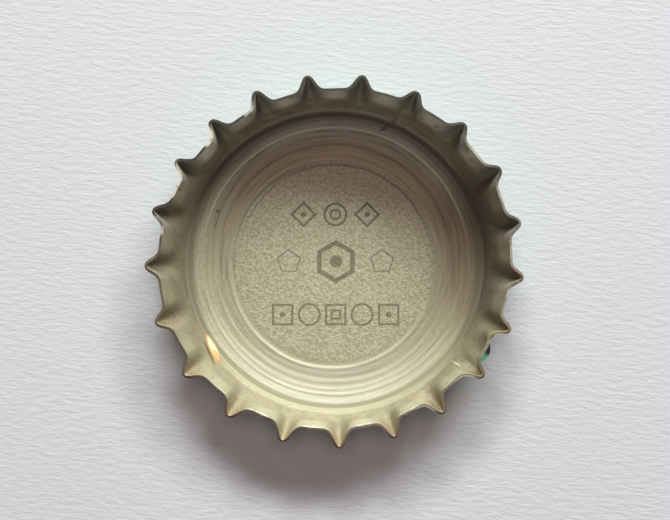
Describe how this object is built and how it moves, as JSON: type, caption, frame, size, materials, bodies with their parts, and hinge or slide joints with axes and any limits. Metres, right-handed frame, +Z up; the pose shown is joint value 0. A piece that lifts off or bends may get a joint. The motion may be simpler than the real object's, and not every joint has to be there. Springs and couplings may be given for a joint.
{
  "type": "bottle cap",
  "caption": "Pressed tinplate crown cap lying inside up, with a fluted flared skirt and a moulded sealing liner; closes a bottle mouth of the standard crown finish.",
  "frame": {"origin": "centre of the flat outer face of the panel, which the cap lies on", "axes": "+Z up through the open side of the cap, +X and +Y in the plane of the panel"},
  "size_m": [0.0323, 0.0317, 0.006],
  "materials": {
    "crown_shell": "satin champagne lacquer inside, plain green enamel outside, bare cut edge",
    "liner": "pale translucent sealing compound, satin"
  },
  "bodies": {
    "root": {"crown_shell": "crown_shell", "liner": "liner"}
  },
  "joints": []
}
